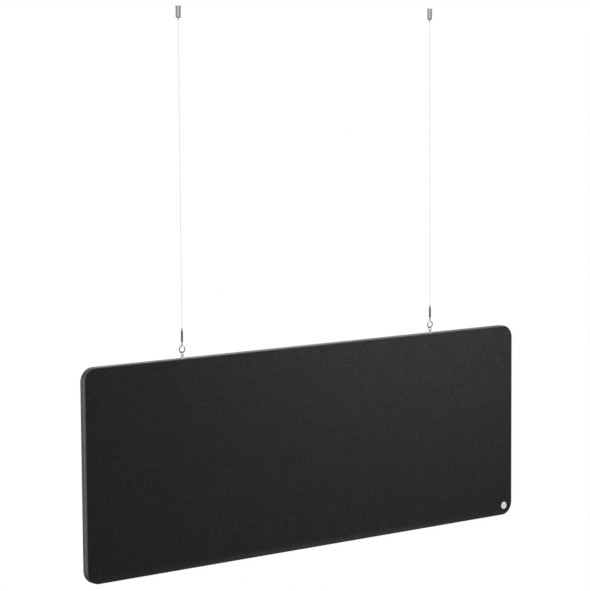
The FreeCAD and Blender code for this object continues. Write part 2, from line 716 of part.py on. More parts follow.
def gate_path(body, name):
    """Loop of the gate's centre line: out of the hole, down, round the end and back."""
    sketch = new_sketch(body, name, "YZ_Plane")
    half, corner, run = value("gate_half_width"), value("gate_corner"), value("gate_run")
    gap = value("gate_half_end_gap")
    flat = Vector(0, 0, 1)
    quarter = math.pi / 2
    sketch.addGeometry(Part.LineSegment(Vector(gap, 0, 0), Vector(half - corner, 0, 0)))
    first = Part.Circle(Vector(half - corner, -corner, 0), flat, corner)
    sketch.addGeometry(Part.ArcOfCircle(first, 0, quarter))
    sketch.addGeometry(Part.LineSegment(Vector(half, -corner, 0), Vector(half, -run, 0)))
    end = Part.Circle(Vector(0, -run, 0), flat, half)
    sketch.addGeometry(Part.ArcOfCircle(end, 2 * quarter, 4 * quarter))
    sketch.addGeometry(Part.LineSegment(Vector(-half, -run, 0), Vector(-half, -corner, 0)))
    last = Part.Circle(Vector(corner - half, -corner, 0), flat, corner)
    sketch.addGeometry(Part.ArcOfCircle(last, quarter, 2 * quarter))
    sketch.addGeometry(Part.LineSegment(Vector(corner - half, 0, 0), Vector(-gap, 0, 0)))
    meets = ((0, 2, 1, 2), (1, 1, 2, 1), (2, 2, 3, 2), (3, 1, 4, 1), (4, 2, 5, 2), (5, 1, 6, 1))
    for one, end, other, start in meets:
        sketch.addConstraint(Sketcher.Constraint("Tangent", one, end, other, start))
    fix_point(sketch, 0, 1, "gate_half_end_gap", 0)
    fix_point(sketch, 6, 2, "-gate_half_end_gap", 0)
    sketch.addConstraint(Sketcher.Constraint("Horizontal", 0))
    sketch.addConstraint(Sketcher.Constraint("Horizontal", 6))
    for arc, radius in ((1, "gate_corner"), (5, "gate_corner"), (3, "gate_half_width")):
        size = sketch.addConstraint(Sketcher.Constraint("Radius", arc, value(radius)))
        sketch.setExpression(f"Constraints[{size}]", rule(radius))
    fix_point(sketch, 3, 3, 0, "-gate_run")
    return sketch


def make_gate(side):
    """Spring gate of thin wire, built hanging from its pivot and then turned towards the tip."""
    name = f"hook_gate_{side}"
    body = new_body(name)
    path = gate_path(body, name + "_path")
    section = circle_sketch(body, name + "_section", "XZ_Plane", [(0, 0)], "gate_wire_radius",
                            z="-fits.gate_half_end_gap")
    swept(body, name + "_wire", section, path)
    body.Placement = Placement(Vector(), Rotation(Vector(0, SIDES[side], 0), value("gate_angle")))
    body.setExpression("Placement.Rotation.Angle", "fits.gate_angle")
    place(body, x=f"{SIDES[side]} * fits.hanger_x", z="fits.gate_pivot")
    node(body, name)


def make_terminal(side):
    """Swaged terminal: tapered top on the wire, socket and flared throat for the hook's head."""
    name = f"wire_terminal_{side}"
    body = turned(name, [
        ("swage_radius", "terminal_top"), ("taper_tip_radius", "terminal_top"),
        ("terminal_radius", "taper_bottom"), ("terminal_radius", "terminal_bottom"),
        ("mouth_radius", "terminal_bottom"), ("throat_radius", "seat_level"),
        ("socket_radius", "seat_level"), ("socket_radius", "socket_top"),
        (0, "socket_top"), (0, "swage_bottom"), ("swage_radius", "swage_bottom")])
    rounded(body, name + "_rim", "terminal_rounding", ring_edge("terminal_radius", "terminal_bottom"))
    node(on_hanger(body, side), name)


def make_wire(side):
    """The taut stretch of wire, its bend at the nozzle and the end held in the barrel."""
    x = f"{SIDES[side]} * fits.hanger_x"
    radius = "fits.wire_radius"
    node(cylinder(f"wire_{side}", radius, "fits.wire_length", x=x, z="fits.wire_bottom"), f"wire_{side}")
    bend = part_object("Sphere", f"wire_bend_{side}", Radius=radius)
    place(bend, x=x, z="fits.bend_level")
    node(bend, f"wire_bend_{side}")
    tail = cylinder(f"wire_tail_{side}", radius, "fits.tail_length", x=x, z="fits.tail_bottom")
    node(tail, f"wire_tail_{side}")


def make_ceiling_fitting(side):
    """Base screwed to the ceiling, and the barrel screwed on the base."""
    base = turned(f"ceiling_base_{side}", [
        ("screw_hole_radius", 0), ("flange_radius", 0), ("flange_radius", "flange_bottom"),
        ("plug_radius", "flange_bottom"), ("plug_radius", "boss_bottom"),
        ("screw_head_radius", "boss_bottom"), ("screw_hole_radius", "sink_top")])
    rounded(base, f"ceiling_base_{side}_rim", "flange_rounding", ring_edge("flange_radius", "flange_bottom"))
    node(on_hanger(base, side), f"ceiling_base_{side}")
    barrel = turned(f"ceiling_barrel_{side}", [
        ("chamber_radius", "flange_bottom"), ("barrel_radius", "flange_bottom"),
        ("barrel_radius", "barrel_bottom"), ("recess_radius", "barrel_bottom"),
        ("recess_radius", "floor_bottom"), ("nozzle_hole_radius", "floor_bottom"),
        ("nozzle_hole_radius", "floor_top"), ("cone_bottom_radius", "floor_top"),
        ("cone_top_radius", "plug_bottom"), ("chamber_radius", "plug_bottom")])
    rounded(barrel, f"ceiling_barrel_{side}_shoulder", "shoulder_radius",
            ring_edge("barrel_radius", "barrel_bottom"))
    node(on_hanger(barrel, side), f"ceiling_barrel_{side}")


def make_grip(side):
    """Plug, spring, balls and the release nozzle, with its conical collar and its ball cage."""
    plug = turned(f"spring_plug_{side}", [
        ("nozzle_bore", "plug_bottom"), ("plug_radius", "plug_bottom"), ("plug_radius", "plug_top"),
        ("nozzle_bore", "plug_top")])
    node(on_hanger(plug, side), f"spring_plug_{side}")
    spring = turned(f"grip_spring_{side}", [
        ("spring_bore", "spring_bottom"), ("cage_radius", "spring_bottom"),
        ("cage_radius", "spring_top"), ("spring_bore", "spring_top")])
    node(on_hanger(spring, side), f"grip_spring_{side}")
    nozzle = turned(f"release_nozzle_{side}", [
        ("nozzle_bore", "nozzle_mouth"), ("nozzle_tip_radius", "nozzle_mouth"),
        ("collar_radius", "collar_bottom"), ("collar_radius", "collar_top"),
        ("nozzle_radius", "collar_top"), ("nozzle_radius", "cage_bottom"),
        ("cage_radius", "cage_bottom"), ("cage_radius", "cage_top"), ("nozzle_bore", "cage_top")])
    window = circle_sketch(nozzle, f"window_{side}", "YZ_Plane", [(0, "ball_level")], "window_radius")
    opening = pocket(nozzle, f"ball_window_{side}", window, "2 * fits.cage_radius")
    ring = nozzle.newObject("PartDesign::PolarPattern", f"ball_windows_{side}")
    ring.Originals = [opening]
    ring.Axis = (window, ["V_Axis"])
    ring.Angle = 360
    ring.Occurrences = len(BALL_ANGLES)
    nozzle.Tip = ring
    node(on_hanger(nozzle, side), f"release_nozzle_{side}")
    balls = []
    for angle in BALL_ANGLES:
        ball = part_object("Sphere", f"ball_{side}_{angle}", Radius="fits.ball_radius")
        place(ball, x=f"{SIDES[side]} * fits.hanger_x + fits.ball_ring_radius * cos({angle})",
              y=f"fits.ball_ring_radius * sin({angle})", z="fits.ball_level")
        balls.append(ball)
    node(group("Compound", f"grip_balls_{side}", balls), f"grip_balls_{side}")


def check_document():
    """Stop if any object failed, or any sub-part has no valid shape."""
    failed = [item.Label for item in doc.Objects if "Invalid" in item.State or "Error" in item.State]
    if failed:
        raise RuntimeError(f"failed objects: {failed}")
    for item in nodes:
        if item.Shape.isNull() or not item.Shape.isValid() or not item.Shape.Solids:
            raise RuntimeError(f"{item.Label} has no valid solid")


def write_parts():
    os.makedirs("parts", exist_ok=True)
    for item in nodes:
        item.Shape.exportStep(f"parts/{item.Label}.step")


make_covers()
make_wadding()
make_frame()
make_core()
make_badge()
for side_name in SIDES:
    make_eye(side_name)
    make_hook(side_name)
    make_gate(side_name)
    make_terminal(side_name)
    make_wire(side_name)
    make_ceiling_fitting(side_name)
    make_grip(side_name)
doc.recompute()
check_document()
write_parts()
print(f"{len(nodes)} sub-parts written")
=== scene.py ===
"""Dresses the packed hanging acoustic panel: cloth covers, laid steel wires, fittings and a studio."""
import math

import bmesh
import bpy
from bpy.props import FloatProperty, FloatVectorProperty, IntProperty, PointerProperty
from mathutils import Matrix, Vector, noise


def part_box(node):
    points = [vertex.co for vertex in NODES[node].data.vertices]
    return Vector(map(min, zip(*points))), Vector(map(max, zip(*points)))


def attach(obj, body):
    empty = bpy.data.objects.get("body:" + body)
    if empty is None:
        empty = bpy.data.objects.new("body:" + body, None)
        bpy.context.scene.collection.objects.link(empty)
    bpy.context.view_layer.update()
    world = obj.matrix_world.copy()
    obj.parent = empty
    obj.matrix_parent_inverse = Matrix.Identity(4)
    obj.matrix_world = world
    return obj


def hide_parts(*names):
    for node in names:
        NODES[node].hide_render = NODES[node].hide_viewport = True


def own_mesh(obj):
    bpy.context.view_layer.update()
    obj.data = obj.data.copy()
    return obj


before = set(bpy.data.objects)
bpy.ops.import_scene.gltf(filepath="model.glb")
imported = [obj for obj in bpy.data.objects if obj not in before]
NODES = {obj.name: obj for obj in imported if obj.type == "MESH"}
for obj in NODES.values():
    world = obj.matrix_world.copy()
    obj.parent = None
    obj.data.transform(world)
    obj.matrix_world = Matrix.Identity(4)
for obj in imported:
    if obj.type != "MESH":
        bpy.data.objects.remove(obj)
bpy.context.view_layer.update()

bl_info = {
    "name": "Hanging acoustic panel",
    "version": (1, 0, 0),
    "blender": (4, 5, 0),
    "location": "View3D > Sidebar > Acoustic panel",
    "description": "Dresses the packed panel with cloth, wires, fittings and a plain studio",
    "category": "Object",
}

# A millimetre in metres
MM = 0.001
SIDES = ("left", "right")


# Settings that a user would change

def size_prop(name, description, millimetres):
    """A length, given in millimetres and kept in metres."""
    return FloatProperty(name=name, description=description, default=millimetres * MM, min=0.0,
                         precision=5, unit="LENGTH")


def colour_prop(name, description, colour):
    """A linear colour."""
    return FloatVectorProperty(name=name, description=description, default=colour, size=3, min=0.0, max=1.0,
                               subtype="COLOR")


def share_prop(name, description, value):
    """A share from 0 to 1."""
    return FloatProperty(name=name, description=description, default=value, min=0.0, max=1.0,
                         subtype="FACTOR")


def power_prop(name, description, watts):
    """The power of a lamp."""
    return FloatProperty(name=name, description=description, default=watts, min=0.0, unit="POWER")


class CoverSettings(bpy.types.PropertyGroup):
    """Cloth of the covers and the seam that joins them."""
    corner_radius: size_prop("Corner radius", "Radius of the panel's corners", 40)
    edge_rounding: size_prop("Edge rounding", "Radius where the face turns into the edge", 2.5)
    cloth_thickness: size_prop("Cloth thickness", "Thickness of the cloth", 0.8)
    crown: size_prop("Crown", "How far the wadding swells the middle of a face", 0.35)
    ripple: size_prop("Ripple", "Depth of the slow waves in the stretched cloth", 0.1)
    thread_pitch: size_prop("Thread pitch", "Distance between threads of the weave", 1.1)
    stitch_step: size_prop("Stitch step", "Distance between stitches of the seam", 5)
    thread_radius: size_prop("Thread radius", "Radius of the sewing thread", 0.22)
    yarn_dark: colour_prop("Dark yarn", "Darker yarn of the cloth", (0.0155, 0.0152, 0.0167))
    yarn_light: colour_prop("Light yarn", "Lighter yarn of the cloth", (0.049, 0.0482, 0.0515))
    # Painted light: the paler tone of the cloth round the edge, as if lit from the side; the painted glow
    # along the foot of a face takes it too
    painted_light_tone: colour_prop("Edge tone", "Cloth stretched round the edge, where its fibres stand up",
                           (0.118, 0.118, 0.119))
    # Painted shade: the back cover's edge takes less of the painted edge light
    back_edge: share_prop("Back edge", "How much of the edge tone the back cover's edge has", 0.68)
    # Painted shade: the painted edge light fades round the corner arcs
    corner_fade: share_prop("Corner fade", "Share of the edge tone that is lost round a corner", 0.75)
    # Painted light: a glow of light from below along the foot of a face, and how far up it reaches
    floor_glow: share_prop("Lint", "Share of the edge tone that lint gives the foot of a face", 0.27)
    floor_glow_height: size_prop("Lint height", "How far the lint reaches up a face", 26)
    sewing_thread: colour_prop("Sewing thread", "Colour of the seam's thread", (0.02, 0.02, 0.021))


class FillingSettings(bpy.types.PropertyGroup):
    """Wadding, absorbing core and timber inside the covers."""
    wadding_colour: colour_prop("Wadding", "Colour of the wadding", (0.62, 0.61, 0.57))
    wool_colour: colour_prop("Wool", "Colour of the absorbing core", (0.45, 0.41, 0.25))
    timber_light: colour_prop("Timber, early wood", "Pale rings of the timber", (0.56, 0.39, 0.22))
    timber_dark: colour_prop("Timber, late wood", "Dark rings of the timber", (0.36, 0.2, 0.09))


class WireSettings(bpy.types.PropertyGroup):
    """Steel suspension wires, laid from strands."""
    strands: IntProperty(name="Strands", description="Outer strands of a wire", default=6, min=3, max=12)
    lay_length: size_prop("Lay length", "Length of one turn of the strands", 9)
    ring_step: size_prop("Ring step", "Distance between rings of the wire's mesh", 0.6)
    groove: share_prop("Groove", "Depth of the grooves between strands, as a share of the radius", 0.22)
    steel: colour_prop("Steel", "Colour of the wire", (0.52, 0.52, 0.52))
    spring_turns: FloatProperty(name="Spring turns", description="Turns of a grip spring", default=6.0,
                                min=2.0)
    spring_steel: colour_prop("Spring steel", "Colour of springs and gates", (0.48, 0.48, 0.48))


class FittingSettings(bpy.types.PropertyGroup):
    """Metals of the ceiling fittings, hooks, eyes and badge."""
    nickel: colour_prop("Nickel", "Satin nickel of the ceiling fittings", (0.28, 0.28, 0.27))
    nozzle: colour_prop("Nozzle", "Brighter nickel of the release nozzles", (0.42, 0.42, 0.41))
    terminal: colour_prop("Terminal", "Dark steel of the wire terminals", (0.09, 0.09, 0.09))
    hook: colour_prop("Hook", "Plated steel of the snap hooks", (0.13, 0.13, 0.13))
    zinc: colour_prop("Zinc", "Zinc of the eye bolts", (0.42, 0.42, 0.42))
    washer: colour_prop("Washer", "Bright zinc of the washers", (0.64, 0.64, 0.64))
    brass: colour_prop("Brass", "Brass of inserts and plugs", (0.66, 0.5, 0.22))
    ball: colour_prop("Ball", "Polished steel of the grip balls", (0.7, 0.7, 0.7))
    badge: colour_prop("Badge", "Satin metal of the badge", (0.92, 0.92, 0.92))


class StageSettings(bpy.types.PropertyGroup):
    """Camera, lamps and floor."""
    lens: FloatProperty(name="Lens", description="Focal length in millimetres", default=141.59, min=1.0)
    left_power: power_prop("Left lamp", "Power of the lamp on the left", 95.0)
    top_power: power_prop("Top lamp", "Power of the lamp above the left half", 50.0)
    front_power: power_prop("Front lamp", "Power of the lamp in front, high on the right", 39.5)
    wide_power: power_prop("Wide lamp", "Power of the lamp behind the camera, which metal mirrors", 150.0)
    back_power: power_prop("Back lamp", "Power of the lamp behind", 60.0)
    world_level: FloatProperty(name="Fill", description="Strength of the even fill light", default=0.03,
                               min=0.0)
    floor_colour: colour_prop("Floor", "Colour of the floor", (0.72, 0.72, 0.72))
    floor_level: FloatProperty(name="Floor level", description="Height of the floor, from the ceiling",
                               default=-2.6, unit="LENGTH")


# Node trees, as finishes, the backdrop and grown meshes have them

class Signal:
    """An output of a node. Sums and products of signals add Math nodes to their tree."""

    def __init__(self, nodes, socket):
        self.nodes = nodes
        self.socket = socket

    def __add__(self, other):
        return self.nodes.math("ADD", self, other)

    def __sub__(self, other):
        return self.nodes.math("SUBTRACT", self, other)

    def __rsub__(self, other):
        return self.nodes.math("SUBTRACT", other, self)

    def __mul__(self, other):
        return self.nodes.math("MULTIPLY", self, other)

    def __truediv__(self, other):
        return self.nodes.math("DIVIDE", self, other)

    def __mod__(self, other):
        return self.nodes.math("FLOORED_MODULO", self, other)

    def __pow__(self, other):
        return self.nodes.math("POWER", self, other)

    def __abs__(self):
        return self.nodes.math("ABSOLUTE", self)

    __radd__ = __add__
    __rmul__ = __mul__


class Nodes:
    """A node tree being made, for a finish, the backdrop or a mesh."""

    def __init__(self, tree):
        self.tree = tree

    def connect(self, value, socket):
        """Link a signal to a socket, or set a plain value on it."""
        if isinstance(value, Signal):
            self.tree.links.new(value.socket, socket)
        elif socket.type == "RGBA":
            socket.default_value = (*value, 1.0)
        else:
            socket.default_value = value

    def node(self, kind, inputs=None, output=0, **options):
        """Add a node, set it up, feed its sockets and return one of its outputs."""
        item = self.tree.nodes.new(kind)
        for name, value in options.items():
            setattr(item, name, value)
        for key, value in (inputs or {}).items():
            self.connect(value, item.inputs[key])
        return Signal(self, item.outputs[output])

    def math(self, operation, *values):
        return self.node("ShaderNodeMath", dict(enumerate(values)), operation=operation)


class Finish(Nodes):
    """A material being made: one Principled shader and the nodes that feed it."""

    def __init__(self, name):
        self.material = bpy.data.materials.new(name)
        self.material.use_nodes = True
        super().__init__(self.material.node_tree)
        self.shader = next(item for item in self.tree.nodes if item.type == "BSDF_PRINCIPLED")

    def place(self):
        """The point on the object, in metres."""
        return self.node("ShaderNodeTexCoord", output="Object")

    def parts(self, vector):
        """X, Y and Z of a vector."""
        first = self.node("ShaderNodeSeparateXYZ", {0: vector})
        return [Signal(self, socket) for socket in first.socket.node.outputs]

    def stretched(self, vector, factors):
        """A vector with its X, Y and Z multiplied."""
        return self.node("ShaderNodeVectorMath", {0: vector, 1: factors}, operation="MULTIPLY")

    def join(self, x, y, z):
        return self.node("ShaderNodeCombineXYZ", {0: x, 1: y, 2: z})

    def noise(self, vector, scale=1.0, detail=2.0, roughness=0.6):
        """Noise about 0.5 over the surface; scale is in waves per metre."""
        return self.node("ShaderNodeTexNoise", {"Vector": vector, "Scale": scale, "Detail": detail,
                                                "Roughness": roughness}, "Fac")

    def smooth(self, value, low, high):
        """0 below low and 1 above high, smooth between them."""
        return self.node("ShaderNodeMapRange", {"Value": value, "From Min": low, "From Max": high},
                         interpolation_type="SMOOTHSTEP")

    def mix(self, share, first, second):
        """A colour between two colours, by a Mix node's sockets for colours."""
        return self.node("ShaderNodeMix", {0: share, 6: first, 7: second}, 2, data_type="RGBA")

    def bump(self, height, strength, distance):
        return self.node("ShaderNodeBump", {"Height": height, "Strength": strength, "Distance": distance},
                         "Normal")

    def set(self, **sockets):
        """Feed the shader; an underscore in a name stands for a space."""
        for name, value in sockets.items():
            self.connect(value, self.shader.inputs[name.replace("_", " ")])
        return self.material


# Pieces and their meshes

def settings(name):
    """One of the scene's groups of settings."""
    return getattr(bpy.context.scene, "acoustic_" + name)


def scaled(colour, factor):
    """A colour made darker or lighter, up to white."""
    return tuple(min(1.0, part * factor) for part in colour)


def paint(material, *names):
    """Give CAD nodes a finish."""
    for name in names:
        mesh = NODES[name].data
        mesh.materials.clear()
        mesh.materials.append(material)


def add_piece(name, mesh, material, body, slot, *replaced):
    """Put a new piece in the scene, in its finish and on its body, in the place of CAD nodes."""
    piece = bpy.data.objects.new(name, mesh)
    bpy.context.collection.objects.link(piece)
    mesh.materials.clear()
    mesh.materials.append(material)
    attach(piece, body)
    if replaced:
        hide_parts(*replaced)
    return piece


def centred_box(name):
    """The centre of a CAD node's box, and half its size along X, Y and Z."""
    low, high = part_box(name)
    return (low + high) / 2, [(above - below) / 2 for below, above in zip(low, high)]


def upright(name):
    """Foot, head and radius of a round CAD node that stands upright."""
    low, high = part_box(name)
    centre = (low + high) / 2
    foot, head = (Vector((centre.x, centre.y, height)) for height in (low.z, high.z))
    return foot, head, (high.x - low.x) / 2


def shade_smooth(mesh):
    mesh.polygons.foreach_set("use_smooth", [True] * len(mesh.polygons))
    mesh.update()


def join_rings(mesh, rows):
    """Faces between rings that follow each other, where a ring may have half the points of the one before."""
    for lower, upper in zip(rows, rows[1:]):
        step = len(lower) // len(upper)
        for index in range(len(upper)):
            side = [lower[(index * step + more) % len(lower)] for more in range(step + 1)]
            mesh.faces.new((*side, upper[(index + 1) % len(upper)], upper[index]))


def plain_mesh(name, mesh):
    """Turn a bmesh into a plain mesh with its faces turned the same way."""
    bmesh.ops.recalc_face_normals(mesh, faces=mesh.faces)
    made = bpy.data.meshes.new(name)
    mesh.to_mesh(made)
    mesh.free()
    return made


# Outline of the panel and cloth over it

# Points round a cover's edge, of which every second one goes on across its face
EDGE_POINTS = 1736
SEAM_POINTS = EDGE_POINTS // 2
# Share of a corner's radius that the rings across a face keep, so that their points stay apart
CORNER_KEPT = 0.12
# Inset and height in millimetres of the hem's rings, from the tuck at the seam out to the edge
HEM_RINGS = ((2.2, 0.12), (1.2, 0.1), (0.55, 0.25), (0.15, 0.65), (0.0, 1.3))
# Cloth of the hem that is tucked in at the seam
HEM_FLAP = 2 * MM
# Rings of the hem that pucker at every second point, and how deep
PUCKER_RINGS = (3, 4)
PUCKER_DEPTH = 0.12 * MM
# Number of rings up the edge, and of those that turn into the face
WALL_RINGS = 4
ARC_RINGS = 5
# Insets in millimetres of a face's first rings, the number of even rings, and half the slot inside them
FACE_INSETS = (4, 6, 9, 13, 18, 24, 32)
EVEN_RINGS = 15
SLOT_HALF = 10 * MM
# Share of the painted edge light where the face begins, what each ring before it adds, and what is left after
# it
RIM_SHARE = 0.5
RING_SHARE = 0.25
FACE_SHARE = 0.16
# Distance from the edge over which the crown rises and the ripples set in
CROWN_REACH = 60 * MM
RIPPLE_REACH = 30 * MM
# Ripples for each metre along and up a face, and where in the noise they lie
RIPPLES_ALONG = 9.0
RIPPLES_UP = 11.0
RIPPLE_PLACE = 4.7


def outline(half_long, half_tall, radius, count):
    """Points round a round-cornered rectangle, evenly spaced, with their outward normals, in X and Z."""
    straight_x, straight_z = half_long - radius, half_tall - radius
    quarter = math.pi * radius / 2
    # Each side's length and start, and the centre of the corner after it
    sides = ((2 * straight_x, (-straight_x, -half_tall), (straight_x, -straight_z)),
             (2 * straight_z, (half_long, -straight_z), (straight_x, straight_z)),
             (2 * straight_x, (straight_x, half_tall), (-straight_x, straight_z)),
             (2 * straight_z, (-half_long, straight_z), (-straight_x, -straight_z)))
    total = sum(length for length, _, _ in sides) + len(sides) * quarter
    points = []
    for index in range(count):
        along = total * index / count
        for turn, (length, start, corner) in enumerate(sides):
            angle = turn * math.pi / 2
            if along <= length:
                ahead_x, ahead_z = math.cos(angle), math.sin(angle)
                points.append((start[0] + ahead_x * along, start[1] + ahead_z * along, ahead_z, -ahead_x))
                break
            along -= length
            if along <= quarter:
                turned = angle - math.pi / 2 + along / radius
                out_x, out_z = math.cos(turned), math.sin(turned)
                points.append((corner[0] + radius * out_x, corner[1] + radius * out_z, out_x, out_z))
                break
            along -= quarter
    return points


def inset_point(point, inset, half_long, half_tall, radius):
    """A point of the outline moved inwards, kept apart from its neighbours past the corner's centre."""
    x, z, normal_x, normal_z = point
    straight = min(inset, radius - radius * CORNER_KEPT)
    shrink_x = (half_long - inset) / (half_long - straight)
    shrink_z = (half_tall - inset) / (half_tall - straight)
    return (x - normal_x * straight) * shrink_x, (z - normal_z * straight) * shrink_z


def cover_profile(depth, rounding):
    """Rings of a cover from the tucked hem at the seam, up the edge and round to where the face begins.

    Each ring is (inset, height above the mid-plane, inset on the flat cloth).
    """
    hem = [(inset * MM, height * MM) for inset, height in HEM_RINGS]
    lip = hem[-1][1]
    wall = [(0.0, lip + (depth - rounding - lip) * step / WALL_RINGS) for step in range(1, WALL_RINGS + 1)]
    angles = [math.pi / 2 * step / ARC_RINGS for step in range(1, ARC_RINGS + 1)]
    arc = [(rounding * (1 - math.cos(angle)), depth - rounding + rounding * math.sin(angle))
           for angle in angles]
    rim = hem + wall + arc
    lengths = [math.hypot(after[0] - ring[0], after[1] - ring[1]) for ring, after in zip(rim, rim[1:])]
    flat = rounding - sum(lengths)
    rings = []
    for (inset, height), length in zip(rim, (*lengths, 0.0)):
        rings.append((inset, height, flat))
        flat += length
    return rings


def face_rings(half_tall):
    """Insets of the rings across a face, from just inside its rim to the slot along its middle."""
    insets = [inset * MM for inset in FACE_INSETS]
    first, last = insets[-1], half_tall - SLOT_HALF
    return insets + [first + (last - first) * step / EVEN_RINGS for step in range(1, EVEN_RINGS + 1)]


def cover_mesh(name, face):
    """Cloth over one face and half of the edge, with its flat cut as UV map and, as the attribute rim, its
    share of the painted edge light.
    """
    cover = settings("covers")
    centre, (half_long, half_deep, half_tall) = centred_box(f"{face}_cover")
    depth = 2 * half_deep
    # The back cover's edge gets less painted edge light: painted shade on the back half of the edge
    way, tone = (-1.0, 1.0) if face == "front" else (1.0, cover.back_edge)
    rim = cover_profile(depth, cover.edge_rounding)
    face_insets = face_rings(half_tall)
    even_from = FACE_INSETS[-1] * MM
    edge = outline(half_long, half_tall, cover.corner_radius, EDGE_POINTS)
    mesh = bmesh.new()
    cut = mesh.loops.layers.uv.new("cut")
    edge_light_share = mesh.verts.layers.float.new("rim")
    flat_of = {}

    def add_point(point, inset, height, flat, share):
        x, z = inset_point(point, inset, half_long, half_tall, cover.corner_radius)
        vert = mesh.verts.new((centre.x + x, way * height, centre.z + z))
        vert[edge_light_share] = share
        if inset < even_from:
            x, z = point[0] - point[2] * flat, point[1] - point[3] * flat
        flat_of[vert] = (x, z)
        return vert

    rows = []
    for index, (inset, height, flat) in enumerate(rim):
        share = tone * min(1.0, RIM_SHARE + RING_SHARE * (len(rim) - 1 - index))
        pucker = PUCKER_DEPTH if index in PUCKER_RINGS else 0.0
        row = []
        for place, point in enumerate(edge):
            dip = pucker if place % 2 else 0.0
            # Less painted edge light round a corner: painted shade on the corner arcs
            turned = 2 * abs(point[2] * point[3])
            row.append(add_point(point, inset + dip, height, flat, share * (1 - cover.corner_fade * turned)))
        rows.append(row)
    for inset in face_insets:
        share = FACE_SHARE * tone if inset == face_insets[0] else 0.0
        swell = cover.crown * (1 - math.exp(-inset / CROWN_REACH))
        row = []
        for point in edge[::2]:
            vert = add_point(point, inset, depth, inset, share)
            wave = noise.noise((vert.co.x * RIPPLES_ALONG, RIPPLE_PLACE * way, vert.co.z * RIPPLES_UP))
            vert.co.y += way * (swell + cover.ripple * (wave * min(1.0, inset / RIPPLE_REACH)))
            row.append(vert)
        rows.append(row)
    join_rings(mesh, rows)
    fill_slot(mesh, rows[-1])
    for polygon in mesh.faces:
        for loop in polygon.loops:
            loop[cut].uv = flat_of[loop.vert]
    made = plain_mesh(name, mesh)
    facing = sum(polygon.normal.y * polygon.area for polygon in made.polygons)
    if facing * way < 0:
        made.flip_normals()
    shade_smooth(made)
    return made


def fill_slot(mesh, ring):
    """Close the narrow slot inside the last ring with quads between its long sides."""
    lowest = min(range(len(ring)), key=lambda index: (ring[index].co.x + ring[index].co.z, index))
    ordered = ring[lowest:] + ring[:lowest]
    near, far = 0, len(ring) - 1
    while far - near > 2:
        mesh.faces.new((ordered[near], ordered[near + 1], ordered[far - 1], ordered[far]))
        near, far = near + 1, far - 1
    if far - near == 2:
        mesh.faces.new((ordered[near], ordered[near + 1], ordered[far]))


def cloth_finish():
    """Black melange weave: two yarn tones, cloudy dye, raised fibres, painted shade between the yarns, and
    painted light round the edge and along the foot of a face.
    """
    cover = settings("covers")
    _, (_, _, half_tall) = centred_box("front_cover")
    finish = Finish("black_cloth")
    cut = finish.node("ShaderNodeUVMap", uv_map="cut")
    across, up, _ = finish.parts(cut)
    # Plain weave: the warp lies over the weft in every second square
    warp, weft = across / cover.thread_pitch, up / cover.thread_pitch
    warp_number, weft_number = finish.math("FLOOR", warp), finish.math("FLOOR", weft)
    over = (warp_number + weft_number) % 2.0
    crest_warp = abs(finish.math("SINE", warp * math.pi))
    crest_weft = abs(finish.math("SINE", weft * math.pi))
    warp_height = crest_warp * (0.55 + crest_weft * 0.45)
    weft_height = crest_weft * (0.55 + crest_warp * 0.45)
    height = over * warp_height + (1.0 - over) * weft_height
    # Each yarn's own streaks, slubs both ways, cloudy dye and rubbed spots, in waves per metre
    streaks, slub_length, slub_width = 90.0, 40.0, 170.0
    # How far apart neighbouring yarns lie in the noise, whose third axis keeps the kinds apart
    warp_jump, weft_jump = 7.31, 5.17
    warp_yarn = finish.noise(finish.join(warp_number * warp_jump, up * streaks, 0.0), roughness=0.5)
    weft_yarn = finish.noise(finish.join(across * streaks, weft_number * weft_jump, 3.0), roughness=0.5)
    yarn = over * warp_yarn + (1.0 - over) * weft_yarn
    slub_across = finish.noise(finish.join(across * slub_length, up * slub_width, 7.0), detail=3.0)
    slub_up = finish.noise(finish.join(across * slub_width, up * slub_length, 2.0), detail=3.0)
    cloud = finish.noise(cut, 14.0, detail=3.0)
    patch = finish.noise(cut, 60.0, detail=3.0, roughness=0.65)
    rub = finish.noise(cut, 260.0)
    melange = yarn * 0.42 + (slub_across + slub_up) * 0.15 + cloud * 0.07 + patch * 0.09 + rub * 0.12
    tone = finish.smooth(melange, 0.3, 0.7)
    # Darker where the weave lies low: painted shade between the yarns
    face = finish.mix(tone * (0.45 + height * 0.55), cover.yarn_dark, cover.yarn_light)
    # Painted light: paler where the cloth turns round the edge, as if lit from the side, and a painted glow
    # of light from below along the foot of a face, less so at the ends
    rim = finish.node("ShaderNodeAttribute", output="Fac", attribute_name="rim")
    edge_light = finish.smooth(rim, 0.0, 1.0) * (0.72 + rub * 0.35) * (0.85 + height * 0.15)
    above = finish.smooth(up, -half_tall, cover.floor_glow_height - half_tall)
    outwards = finish.smooth(abs(across), half_tall * 0.6, half_tall * 2.5)
    floor_glow = (1.0 - above) * (1.0 - outwards * 0.6) * cover.floor_glow * (0.6 + patch * 0.8)
    colour = finish.mix(finish.math("MAXIMUM", edge_light, floor_glow), face, cover.painted_light_tone)
    fuzz = finish.noise(cut, 1800.0, roughness=0.7)
    return finish.set(Base_Color=colour, Roughness=0.86 + tone * 0.1, Specular_IOR_Level=0.02,
                      Sheen_Weight=0.02, Sheen_Roughness=0.45, Sheen_Tint=(0.6, 0.6, 0.62),
                      Normal=finish.bump(height * 0.75 + fuzz * 0.25, strength=0.55, distance=0.25 * MM))


def thread_finish():
    """Twisted sewing thread."""
    thread = settings("covers").sewing_thread
    finish = Finish("sewing_thread")
    grain = finish.noise(finish.place(), 2600.0, roughness=0.5)
    return finish.set(Base_Color=finish.mix(grain, thread, scaled(thread, 2.2)), Roughness=0.7 + grain * 0.2,
                      Normal=finish.bump(grain, strength=0.4, distance=0.1 * MM))


# Geometry Nodes trees

